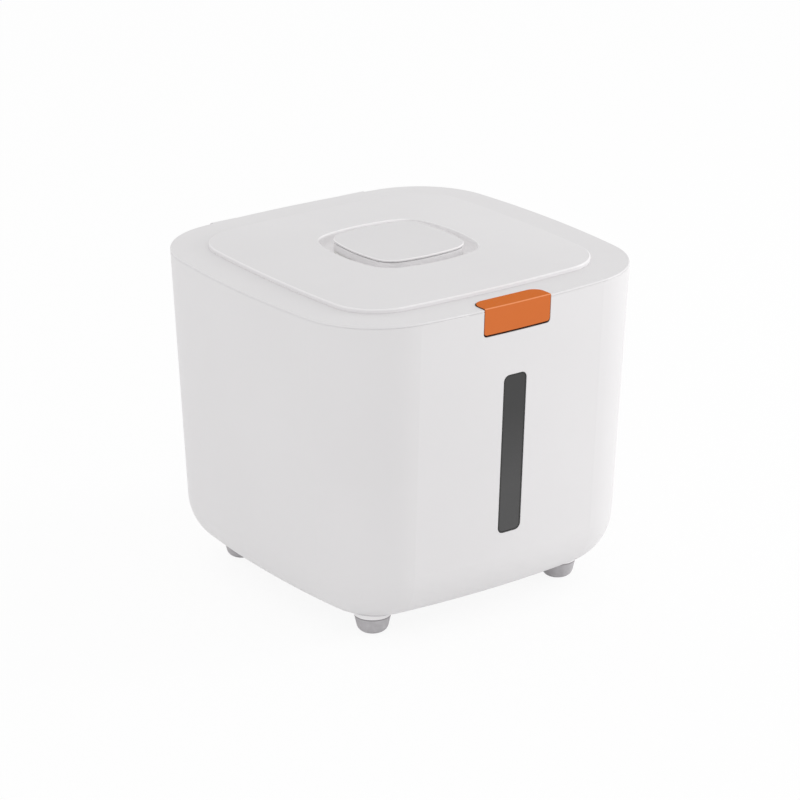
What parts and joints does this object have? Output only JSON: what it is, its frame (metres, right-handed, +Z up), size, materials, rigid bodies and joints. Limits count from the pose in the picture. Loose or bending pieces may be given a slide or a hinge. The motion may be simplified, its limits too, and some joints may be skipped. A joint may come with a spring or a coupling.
{
  "type": "rice storage container",
  "caption": "Soft-square white rice bin on rubber feet, with a hinged lid, a rocker latch, a smoked sight window and a lift-out desiccant cup under a knob.",
  "frame": {"origin": "on the floor, under the middle of the bin", "axes": "+Z up, -Y to the front with the latch and the sight window, +Y to the hinges, +X to the right seen from the front"},
  "size_m": [0.265, 0.2693, 0.2395],
  "materials": {
    "bin_white": "satin white moulded plastic",
    "lid_white": "satin white moulded plastic",
    "liner_white": "natural white moulded plastic",
    "smoked_window": "smoked clear plastic",
    "latch_orange": "satin orange moulded plastic",
    "foot_rubber": "grey soft rubber",
    "silicone": "pale silicone",
    "steel": "plain steel"
  },
  "bodies": {
    "bin": {"bin_body": "bin_white", "sight_window": "smoked_window", "window_seal": "silicone", "foot_pad_front_left": "foot_rubber", "foot_pad_front_right": "foot_rubber", "foot_pad_rear_left": "foot_rubber", "foot_pad_rear_right": "foot_rubber", "hinge_pin_left": "steel", "hinge_pin_right": "steel"},
    "lid": {"lid_cover": "lid_white", "lid_liner": "liner_white", "lid_seal": "silicone", "lid_screws": "steel", "latch_pin": "steel", "latch_spring": "steel"},
    "latch": {"latch_lever": "latch_orange"},
    "desiccant_box": {"desiccant_cup": "liner_white", "cup_seal": "silicone"},
    "knob": {"knob_base": "lid_white", "knob_plate": "lid_white"}
  },
  "joints": [
    {"name": "lid_hinge", "type": "hinge", "parent": "bin", "child": "lid", "pos_m": [0, 0.1343, 0.226], "axis": [-1, 0, 0], "range_deg": [0, 105]},
    {"name": "latch_rock", "type": "hinge", "parent": "lid", "child": "latch", "pos_m": [0, -0.124, 0.2275], "axis": [-1, 0, 0], "range_deg": [0, 12], "stiffness_Nm_per_rad": 0.15, "springref_deg": -8.59, "deforming": ["latch_spring"]},
    {"name": "cup_lift", "type": "slide", "parent": "lid", "child": "desiccant_box", "axis": [0, 0, 1], "range_m": [0, 0.045]},
    {"name": "knob_lift", "type": "slide", "parent": "desiccant_box", "child": "knob", "axis": [0, 0, 1], "range_m": [0, 0.015]}
  ]
}
